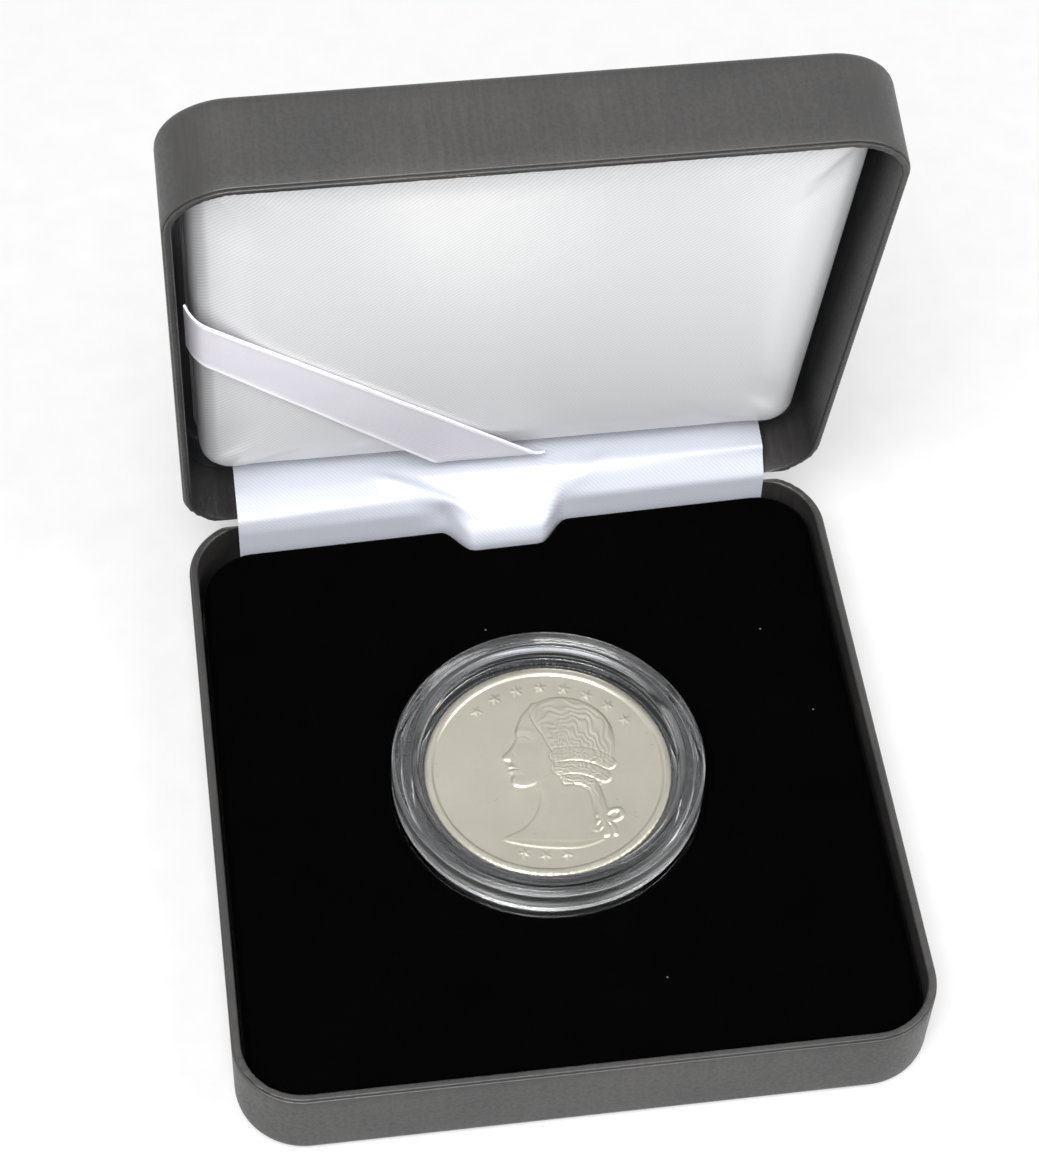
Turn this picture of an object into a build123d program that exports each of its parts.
"""Coin display case: a leatherette clamshell box with a sprung lid.

The case stands on its underside, centred on the origin. +Z is up, +Y is the
hinge side. The lid is drawn open, as it stands when the case is on show.
All sizes are in millimetres.
"""
import os
from math import cos, radians, sin

from build123d import *

os.makedirs("parts", exist_ok=True)

# ---- the case ----
width = 66.0  # left to right
depth = 67.2  # front to hinge side
corner = 6.7  # outer corner radius in plan
base_height = 9.5
lid_height = 9.85
rim_gap = 0.1  # between the two rims when shut
open_angle = 76.9  # lid on show, measured from shut

# ---- walls ----
leather = 0.28  # thickness of the leatherette
steel = 0.3  # thickness of the pressed shells
wall = 2 * leather + steel  # leatherette is glued on both faces of a wall
turn_in = 6.6  # how far the leatherette is turned down inside the base
lid_turn_in = 6.0
soft_edge = 1.2  # rounding of the closed face
rear_roll = 1.8  # rounding of the rear rims, which roll on each other
bead_inset = 0.16  # crease between the wall and the rim bead
bead_drop = 0.3
bead_round = 0.15
crease_round = 0.14
rim_round = 0.25  # inner edge of the rim
clear = 1.0  # how far a cut runs past what it cuts

# ---- hinge ----
hinge_width = 26.0
knuckles = 5
knuckle_gap = 0.12
pin_radius = 0.28
pin_play = 0.02
pin_head_radius = 0.46
pin_head = 0.2
leaf = 0.32  # sheet thickness of the leaves
leaf_corner = 1.4
barrel = pin_radius + leaf
base_leaf_drop = 6.4
lid_leaf_drop = 5.6
notch_play = 0.3
base_rivet_level = 4.35  # below the rim
lid_rivet_level = 3.6
rivet_radius = 0.45
rivet_head = 0.9
rivet_dome = 0.2
rivet_x = 8.0
spring_width = 4.4
spring = 0.2
spring_play = 0.04
spring_tail = 0.8  # the blade stops short of the leaf's lower edge
spring_bend = 0.5

# ---- insert ----
insert_play = 0.3
velvet = 0.6
velvet_level = 7.8
velvet_roll = 1.1
board = 1.2
lining = 0.2
skew = 1.7  # the hinge side of the insert is trimmed out of square
insert_rear = 31.5  # where its hinge side crosses the middle
thumb_mouth = 13.2
thumb_floor = 6.8
thumb_depth = 2.8
recess_play = 0.15

# ---- coin and capsule ----
coin_radius = 12.13
coin_thick = 1.75
coin_x = 0.04
coin_y = -0.58
capsule_radius = 15.3
capsule_bottom = 5.0
capsule_height = 6.4
window = 1.0
window_recess = 1.25
window_slope = 0.45  # the lid window's wall leans in
base_slope = 0.9
capsule_edge = 0.3
lip_radius = 13.1
tongue_radius = 14.25
seat_play = 0.1
snap_play = 0.03
coin_play = 0.02
coin_rim = 0.75
coin_rim_slope = 0.2
coin_edge = 0.12
field = 0.15  # the field lies below the rim

# ---- lid pad, ribbon and hinge strip ----
pad_half = 31.4
pad_front = -32.0
pad_rear = 29.4
pad_corner = 3.7
pad_recess = 3.0
pad_board = 1.0
pad_round = 1.2
satin = 0.35
ribbon_width = 6.5
ribbon = 0.25
ribbon_line = 28.9  # the ribbon crosses the corner at 45 degrees
ribbon_lift = 0.2  # clear of the satin
ribbon_play = 0.1
ribbon_tuck = 4.0  # how far it is turned down past the pad's edges
strip_half = 27.6
strip = 0.25
strip_play = 0.07
strip_low = 3.3  # its lower edge, tucked behind the insert
strip_knee = 10.4  # it rises straight to here
ridge_left = 31.2  # the fold's ridge runs askew
ridge_right = 34.2
ridge_height = 12.2
strip_tuck_gap = 0.75  # behind the lid pad
strip_tuck_start = 3.4
strip_tuck_end = 5.6

# ---- worked out ----
half_depth = depth / 2
inner_face = half_depth - wall
hinge_y = inner_face + pin_radius
hinge_z = base_height + rim_gap / 2
floor = leather + steel
lid_y = (0, cos(radians(open_angle)), -sin(radians(open_angle)))
lid_z = (0, sin(radians(open_angle)), cos(radians(open_angle)))
hinge_plane = Plane(origin=(0, hinge_y, hinge_z), x_dir=(1, 0, 0), z_dir=lid_z)
base_rim = Plane(origin=(0, 0, base_height))
lid_rim = Plane(
    origin=hinge_plane.from_local_coords((0, -hinge_y, rim_gap / 2)),
    x_dir=(1, 0, 0),
    z_dir=lid_z,
)
# in a side plane, x runs to the hinge side and y away from the base
base_side = Plane(origin=base_rim.origin, x_dir=(0, 1, 0), z_dir=(1, 0, 0))
lid_side = Plane(origin=lid_rim.origin, x_dir=lid_y, z_dir=(1, 0, 0))
down = -1  # from a rim plane into the base
up = 1  # from a rim plane into the lid
capsule_top = capsule_bottom + capsule_height
seam = capsule_bottom + capsule_height / 2
coin_floor = capsule_bottom + window_recess + window
cover_floor = capsule_top - window_recess - window
capsule_plane = Plane(origin=(coin_x, coin_y, 0), x_dir=(1, 0, 0), z_dir=(0, -1, 0))
capsule_axis = Axis((coin_x, coin_y, 0), (0, 0, 1))


def tray_prism(rim, into, inset, start, end, mode=Mode.ADD):
    """A rounded block between two depths below a rim, inset from the outside."""
    with BuildSketch(rim.offset(into * start)) as outline:
        RectangleRounded(width - 2 * inset, depth - 2 * inset, corner - inset)
    extrude(outline.sketch, amount=into * (end - start), mode=mode)


def round_rear_rim(side, into, radius):
    """Rolls the outer edge of the rear rim, straight across the case."""
    reach = rear_roll + clear
    with BuildSketch(side) as waste:
        with Locations((half_depth - rear_roll + reach / 2, into * (rear_roll - reach / 2))):
            Rectangle(reach, reach)
        with Locations((half_depth - rear_roll, into * rear_roll)):
            Circle(radius, mode=Mode.SUBTRACT)
    extrude(waste.sketch, amount=width, both=True, mode=Mode.SUBTRACT)


def notch_for_hinge(side, into, grow):
    """Opens the rear rim round the hinge barrel."""
    fall = barrel + notch_play + grow
    with BuildSketch(side) as notch:
        with Locations((half_depth, into * (fall - rim_gap) / 2)):
            Rectangle(4 * wall, fall + rim_gap)
    half_notch = hinge_width / 2 + notch_play + grow
    extrude(notch.sketch, amount=half_notch, both=True, mode=Mode.SUBTRACT)


def steel_shell(rim, side, into, height):
    """A pressed tray with a drawn corner all round."""
    closed_face = Axis(rim.origin, rim.z_dir * into)
    with BuildPart() as hollow:
        tray_prism(rim, into, floor, 0, height - floor)
        fillet(hollow.edges().group_by(closed_face)[-1], soft_edge - floor)
    with BuildPart() as shell:
        tray_prism(rim, into, leather, leather, height - leather)
        fillet(shell.edges().group_by(closed_face)[-1], soft_edge - leather)
        add(hollow.part, mode=Mode.SUBTRACT)
        round_rear_rim(side, into, rear_roll - leather)
        notch_for_hinge(side, into, leather)
    return shell.part


def leather_cover(rim, side, into, height, shell, tail):
    """One skin outside, over the rim and down inside the wall."""
    closed_face = Axis(rim.origin, rim.z_dir * into)
    with BuildPart() as cover:
        tray_prism(rim, into, 0, bead_drop, height)
        fillet(cover.edges().group_by(closed_face)[-1], soft_edge)
        fillet(cover.edges().group_by(closed_face)[0], crease_round)
        tray_prism(rim, into, bead_inset, 0, bead_drop + clear)
        fillet(cover.edges().group_by(closed_face)[0], bead_round)
        tray_prism(rim, into, wall, 0, tail, mode=Mode.SUBTRACT)
        rim_face = cover.faces().group_by(closed_face)[0][0]
        fillet(rim_face.inner_wires().edges(), rim_round)
        tray_prism(rim, into, floor, tail, height - floor, mode=Mode.SUBTRACT)
        round_rear_rim(side, into, rear_roll)
        add(shell, mode=Mode.SUBTRACT)
        notch_for_hinge(side, into, 0)
    return cover.part


def hinge_leaf(side, into, drop, own):
    """A leaf lying on the inner wall, its own knuckles rolled round the pin."""
    pitch = hinge_width / knuckles
    starts = [-hinge_width / 2 + pitch * n for n in range(knuckles)]
    axis_level = -into * rim_gap / 2
    with BuildPart() as plate:
        with BuildSketch(side):
            with Locations((inner_face - leaf / 2, axis_level + into * drop / 2)):
                Rectangle(leaf, drop)
        extrude(amount=hinge_width / 2 - knuckle_gap / 2, both=True)
        across_sheet = plate.edges().filter_by(Axis(side.origin, side.x_dir))
        fillet(across_sheet.group_by(Axis(side.origin, side.y_dir * into))[-1], leaf_corner)
        for n, start in enumerate(starts):
            inside = side.offset(start + knuckle_gap / 2)
            if n in own:
                with BuildSketch(inside):
                    with Locations((hinge_y, axis_level)):
                        Circle(barrel)
                extrude(amount=pitch - knuckle_gap)
            else:
                with BuildSketch(side.offset(start - knuckle_gap / 2)):
                    with Locations((inner_face, axis_level)):
                        Rectangle(4 * leaf, 2 * (barrel + knuckle_gap))
                extrude(amount=pitch + knuckle_gap, mode=Mode.SUBTRACT)
        with BuildSketch(side):
            with Locations((hinge_y, axis_level)):
                Circle(pin_radius + pin_play)
        extrude(amount=hinge_width, both=True, mode=Mode.SUBTRACT)
    return plate.part


def rivet(side, into, level, across, head_face):
    """One rivet, from its head inside to the outer face of the steel."""
    seat = Plane(
        origin=side.from_local_coords((head_face, into * level, across)),
        x_dir=(1, 0, 0),
        z_dir=side.x_dir,
    )
    with BuildPart() as one:
        with BuildSketch(seat.offset(-rivet_dome)):
            Circle(rivet_head)
        extrude(amount=rivet_dome)
        fillet(one.edges().group_by(Axis(seat.origin, seat.z_dir))[0], rivet_dome * 0.6)
        with BuildSketch(seat):
            Circle(rivet_radius)
        extrude(amount=half_depth - leather - head_face)
    return one.part


def insert_block(low, high, inset):
    """The insert's outline with its thumb notch, drawn in by inset all round."""
    half_x = width / 2 - wall - insert_play - inset
    front = -half_depth + wall + insert_play + inset
    rise = half_x * sin(radians(skew))
    with BuildPart() as block:
        with BuildSketch(Plane.XY.offset(low)) as outline:
            with BuildLine():
                Polyline(
                    (-half_x, front),
                    (half_x, front),
                    (half_x, insert_rear - inset + rise),
                    (-half_x, insert_rear - inset - rise),
                    close=True,
                )
            make_face()
            fillet(outline.vertices(), corner - wall - insert_play - inset)
        extrude(amount=high - low)
        hinge_side = Plane(
            origin=(0, insert_rear - inset, low),
            x_dir=(cos(radians(skew)), sin(radians(skew)), 0),
            z_dir=(0, 0, 1),
        )
        mouth = thumb_mouth / 2 + inset
        flat = thumb_floor / 2 + inset
        with BuildSketch(hinge_side):
            with BuildLine():
                Polyline((mouth, 0), (mouth, thumb_depth), (-mouth, thumb_depth), (-mouth, 0))
                Spline((-mouth, 0), (-flat, -thumb_depth), tangents=((1, 0), (1, 0)))
                Line((-flat, -thumb_depth), (flat, -thumb_depth))
                Spline((flat, -thumb_depth), (mouth, 0), tangents=((1, 0), (1, 0)))
            make_face()
        extrude(amount=high - low, mode=Mode.SUBTRACT)
    return block.part


def pad_block(start, end, inset, face_round=0):
    """The lid pad's outline between two depths below the lid rim."""
    length = pad_rear - pad_front - 2 * inset
    with BuildPart() as block:
        with BuildSketch(lid_rim.offset(start)):
            with Locations((0, (pad_rear + pad_front) / 2)):
                RectangleRounded(2 * (pad_half - inset), length, pad_corner - inset)
        extrude(amount=end - start)
        if face_round:
            face = block.edges().group_by(Axis(lid_rim.origin, lid_rim.z_dir))[0]
            fillet(face, face_round)
    return block.part


# ---- base: pressed steel tray under leatherette ----
with BuildPart() as base_shell:
    add(steel_shell(base_rim, base_side, down, base_height))

with BuildPart() as base_wrap:
    add(leather_cover(base_rim, base_side, down, base_height, base_shell.part, turn_in))

with BuildPart() as base_lining:
    tray_prism(base_rim, down, soft_edge, base_height - floor - lining, base_height - floor)

# ---- lid: the same construction, shallower ----
with BuildPart() as lid_shell:
    add(steel_shell(lid_rim, lid_side, up, lid_height))

with BuildPart() as lid_wrap:
    add(leather_cover(lid_rim, lid_side, up, lid_height, lid_shell.part, lid_turn_in))

# ---- hinge: two riveted leaves, a pin and a friction spring ----
leaf_face = inner_face - leaf

with BuildPart() as hinge_rivets_base:
    for across in (-rivet_x, rivet_x):
        add(rivet(base_side, down, base_rivet_level, across, leaf_face))
    add(rivet(base_side, down, base_rivet_level, 0, leaf_face - spring))

with BuildPart() as hinge_rivets_lid:
    for across in (-rivet_x, rivet_x):
        add(rivet(lid_side, up, lid_rivet_level, across, leaf_face))

with BuildPart() as hinge_leaf_base:
    add(hinge_leaf(base_side, down, base_leaf_drop, own=(1, 3)))
    add(hinge_rivets_base.part, mode=Mode.SUBTRACT)

with BuildPart() as hinge_leaf_lid:
    add(hinge_leaf(lid_side, up, lid_leaf_drop, own=(0, 2, 4)))
    add(hinge_rivets_lid.part, mode=Mode.SUBTRACT)

with BuildPart() as hinge_pin:
    with BuildSketch(Plane.YZ.offset(-hinge_width / 2)):
        with Locations((hinge_y, hinge_z)):
            Circle(pin_radius)
    extrude(amount=hinge_width)
    for end, way in ((-hinge_width / 2, -1), (hinge_width / 2, 1)):
        with BuildSketch(Plane.YZ.offset(end)):
            with Locations((hinge_y, hinge_z)):
                Circle(pin_head_radius)
        extrude(amount=way * pin_head)

with BuildPart() as hinge_spring:
    blade_low = -base_leaf_drop + spring_tail
    blade_knee = -barrel - spring_bend
    blade_top = barrel + rim_gap
    blade_face = leaf_face - spring_play
    with BuildSketch(base_side):
        with BuildLine():
            Polyline(
                (leaf_face, blade_low),
                (leaf_face, blade_knee),
                (blade_face, -barrel),
                (blade_face, blade_top),
                (blade_face - spring, blade_top),
                (blade_face - spring, -barrel),
                (leaf_face - spring, blade_knee),
                (leaf_face - spring, blade_low),
                close=True,
            )
        make_face()
    extrude(amount=spring_width / 2, both=True)
    add(hinge_rivets_base.part, mode=Mode.SUBTRACT)

# the rivets pass through the turned-in leatherette and the steel
for skin, rivets in (
    (base_shell, hinge_rivets_base),
    (base_wrap, hinge_rivets_base),
    (lid_shell, hinge_rivets_lid),
    (lid_wrap, hinge_rivets_lid),
):
    with skin:
        add(rivets.part, mode=Mode.SUBTRACT)

# ---- insert: board and foam block under black velvet ----
insert_low = floor + lining
foam_low = insert_low + board
foam_high = velvet_level - velvet
recess_radius = capsule_radius + recess_play

with BuildPart() as insert_board:
    add(insert_block(insert_low, foam_low, velvet))

with BuildPart() as insert_foam:
    add(insert_block(foam_low, foam_high, velvet))
    with BuildSketch(Plane.XY.offset(capsule_bottom - velvet)):
        with Locations((coin_x, coin_y)):
            Circle(recess_radius + velvet)
    extrude(amount=base_height, mode=Mode.SUBTRACT)

with BuildPart() as insert_velvet:
    add(insert_block(insert_low, velvet_level, 0))
    fillet(insert_velvet.edges().group_by(Axis.Z)[-1], velvet_roll)
    add(insert_block(insert_low, foam_high, velvet), mode=Mode.SUBTRACT)
    with BuildSketch(Plane.XY.offset(capsule_bottom - velvet)):
        with Locations((coin_x, coin_y)):
            Circle(recess_radius + velvet)
    extrude(amount=foam_high + velvet / 2 - (capsule_bottom - velvet))
    with BuildSketch(Plane.XY.offset(capsule_bottom)):
        with Locations((coin_x, coin_y)):
            Circle(recess_radius)
    extrude(amount=base_height, mode=Mode.SUBTRACT)

# ---- capsule: two clear halves that press together round the coin ----
with BuildPart() as capsule_base:
    with BuildSketch(capsule_plane):
        with BuildLine():
            Polyline(
                (0, capsule_bottom + window_recess),
                (lip_radius - base_slope, capsule_bottom + window_recess),
                (lip_radius, capsule_bottom + capsule_edge),
                (lip_radius + capsule_edge, capsule_bottom),
                (capsule_radius - capsule_edge, capsule_bottom),
                (capsule_radius, capsule_bottom + capsule_edge),
                (capsule_radius, seam - snap_play),
                (tongue_radius, seam - snap_play),
                (tongue_radius, capsule_top - window_recess - snap_play),
                (lip_radius + seat_play, capsule_top - window_recess - snap_play),
                (lip_radius + seat_play, cover_floor - snap_play),
                (coin_radius + seat_play, cover_floor - snap_play),
                (coin_radius + seat_play, coin_floor),
                (0, coin_floor),
                close=True,
            )
        make_face()
    revolve(axis=capsule_axis)

with BuildPart() as capsule_cover:
    with BuildSketch(capsule_plane):
        with BuildLine():
            Polyline(
                (0, cover_floor),
                (lip_radius, cover_floor),
                (lip_radius, capsule_top - window_recess),
                (tongue_radius + snap_play, capsule_top - window_recess),
                (tongue_radius + snap_play, seam),
                (capsule_radius, seam),
                (capsule_radius, capsule_top - capsule_edge),
                (capsule_radius - capsule_edge, capsule_top),
                (lip_radius + capsule_edge, capsule_top),
                (lip_radius, capsule_top - capsule_edge),
                (lip_radius - window_slope, cover_floor + window),
                (0, cover_floor + window),
                close=True,
            )
        make_face()
    revolve(axis=capsule_axis)

with BuildPart() as coin:
    coin_low = coin_floor + coin_play
    coin_high = coin_low + coin_thick
    rim_foot = coin_radius - coin_rim
    with BuildSketch(capsule_plane):
        with BuildLine():
            Polyline(
                (0, coin_low + field),
                (rim_foot - coin_rim_slope, coin_low + field),
                (rim_foot, coin_low),
                (coin_radius - coin_edge, coin_low),
                (coin_radius, coin_low + coin_edge),
                (coin_radius, coin_high - coin_edge),
                (coin_radius - coin_edge, coin_high),
                (rim_foot, coin_high),
                (rim_foot - coin_rim_slope, coin_high - field),
                (0, coin_high - field),
                close=True,
            )
        make_face()
    revolve(axis=capsule_axis)

# ---- lid pad: satin over foam over a board glued to the lid ----
pad_back = lid_height - floor
with BuildPart() as lid_pad_board:
    add(pad_block(pad_back - pad_board, pad_back, satin))

with BuildPart() as lid_pad_foam:
    add(pad_block(pad_recess + satin, pad_back - pad_board, satin, pad_round - satin))

with BuildPart() as lid_pad_satin:
    add(pad_block(pad_recess, pad_back, 0, pad_round))
    filling = pad_block(pad_recess + satin, pad_back, satin, pad_round - satin)
    add(filling, mode=Mode.SUBTRACT)

# ---- ribbon across one corner of the lid pad, tucked behind two edges ----
with BuildPart() as certificate_ribbon:
    reach = 2 * pad_half
    tuck = ribbon_play + ribbon
    ribbon_face = pad_recess - ribbon_lift - ribbon
    middle = Plane(
        origin=lid_rim.from_local_coords((0, ribbon_line, ribbon_face)),
        x_dir=lid_rim.from_local_coords((1, 1, 0)) - lid_rim.origin,
        z_dir=lid_rim.z_dir,
    )
    with BuildSketch(middle):
        Rectangle(2 * reach, ribbon_width)
    extrude(amount=ribbon_tuck)
    with BuildPart(mode=Mode.PRIVATE) as band:
        with BuildSketch(lid_rim.offset(ribbon_face)):
            with Locations((reach / 2 - pad_half - tuck, pad_rear + tuck - reach / 2)):
                Rectangle(reach, reach)
        extrude(amount=ribbon_tuck)
        with BuildSketch(lid_rim.offset(ribbon_face + ribbon)):
            with Locations((reach / 2 - pad_half - ribbon_play, pad_rear + ribbon_play - reach / 2)):
                Rectangle(reach, reach)
        extrude(amount=ribbon_tuck, mode=Mode.SUBTRACT)
    add(band.part, mode=Mode.INTERSECT)

# ---- hinge strip: a fold of satin from the insert to the lid pad ----
with BuildPart() as hinge_strip:
    tuck_low = lid_side.from_local_coords((pad_rear + strip_tuck_gap, strip_tuck_start))
    tuck_end = lid_side.from_local_coords((pad_rear + strip_tuck_gap, strip_tuck_end))
    for across, ridge in ((-strip_half, ridge_left), (strip_half, ridge_right)):
        foot = insert_rear + across * sin(radians(skew)) + strip_play
        with BuildSketch(Plane.YZ.offset(across)):
            with BuildLine():
                Polyline(
                    (foot, strip_low),
                    (foot, strip_knee),
                    (ridge, ridge_height),
                    (tuck_low.Y - strip, tuck_low.Z + strip),
                    (tuck_end.Y, tuck_end.Z),
                    (tuck_end.Y, tuck_end.Z - strip),
                    (tuck_low.Y, tuck_low.Z),
                    (ridge + strip, ridge_height - strip),
                    (foot + strip, strip_knee),
                    (foot + strip, strip_low),
                    close=True,
                )
            make_face()
    loft(ruled=True)

pieces = {
    "base_shell": base_shell,
    "base_wrap": base_wrap,
    "base_lining": base_lining,
    "hinge_leaf_base": hinge_leaf_base,
    "hinge_leaf_lid": hinge_leaf_lid,
    "hinge_pin": hinge_pin,
    "hinge_spring": hinge_spring,
    "hinge_rivets_base": hinge_rivets_base,
    "hinge_rivets_lid": hinge_rivets_lid,
    "hinge_strip": hinge_strip,
    "lid_shell": lid_shell,
    "lid_wrap": lid_wrap,
    "lid_pad_board": lid_pad_board,
    "lid_pad_foam": lid_pad_foam,
    "lid_pad_satin": lid_pad_satin,
    "certificate_ribbon": certificate_ribbon,
    "insert_board": insert_board,
    "insert_foam": insert_foam,
    "insert_velvet": insert_velvet,
    "capsule_base": capsule_base,
    "capsule_cover": capsule_cover,
    "coin": coin,
}
for name, piece in pieces.items():
    piece.part.label = name
    export_step(piece.part, f"parts/{name}.step")
